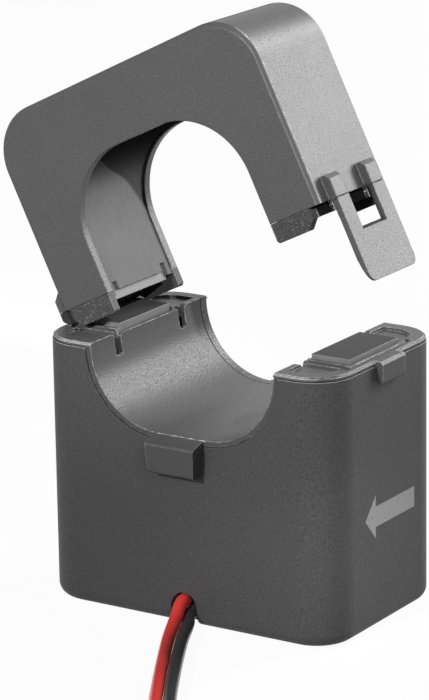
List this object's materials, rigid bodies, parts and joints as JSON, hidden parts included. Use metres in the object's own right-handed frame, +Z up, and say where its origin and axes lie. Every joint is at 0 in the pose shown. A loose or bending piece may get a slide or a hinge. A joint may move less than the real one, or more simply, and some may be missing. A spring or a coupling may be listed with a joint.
{
  "type": "split-core current transformer",
  "caption": "Split-core current transformer: wound base with a U-shaped conductor window, hinged cover with a snap latch, and a red and a black lead.",
  "frame": {"origin": "middle of the base's underside", "axes": "+Z up, +X towards the latch and away from the hinge, -Y towards the side where the leads come out; the conductor runs along Y"},
  "size_m": [0.0784, 0.1305, 0.1],
  "materials": {
    "base_plastic": "dark grey moulded plastic, finely textured",
    "insert_plastic": "dark grey moulded plastic, satin",
    "core_steel": "wound silicon steel, lacquered, ground at the pole faces",
    "former_plastic": "plain moulded former",
    "copper": "enamelled copper wire",
    "tape": "polyester tape",
    "sleeve": "shrunk sleeve",
    "red_insulation": "red wire insulation",
    "black_insulation": "black wire insulation",
    "coiled_leads": "red and black wire, coiled",
    "bright_steel": "plain steel",
    "cover_plastic": "dark grey moulded plastic, finely textured"
  },
  "bodies": {
    "base": {"base_shell": "base_plastic", "base_insert": "insert_plastic", "lower_core": "core_steel", "bobbin": "former_plastic", "winding": "copper", "winding_tape": "tape", "red_splice": "sleeve", "black_splice": "sleeve", "red_lead": "red_insulation", "black_lead": "black_insulation", "lead_coil": "coiled_leads"},
    "cover": {"cover_shell": "cover_plastic", "cover_insert": "insert_plastic", "upper_core": "core_steel", "core_spring": "bright_steel", "hinge_pin": "bright_steel"},
    "latch": {"latch_strap": "cover_plastic"}
  },
  "joints": [
    {"name": "cover_hinge", "type": "hinge", "parent": "base", "child": "cover", "pos_m": [-0.0277, 0, 0.04773], "axis": [0, -1, 0], "range_deg": [-26, 44]},
    {"name": "latch_flex", "type": "hinge", "parent": "cover", "child": "latch", "pos_m": [0.02365, 0, 0.07316], "axis": [0, -1, 0], "range_deg": [0, 13], "stiffness_Nm_per_rad": 0.02}
  ]
}
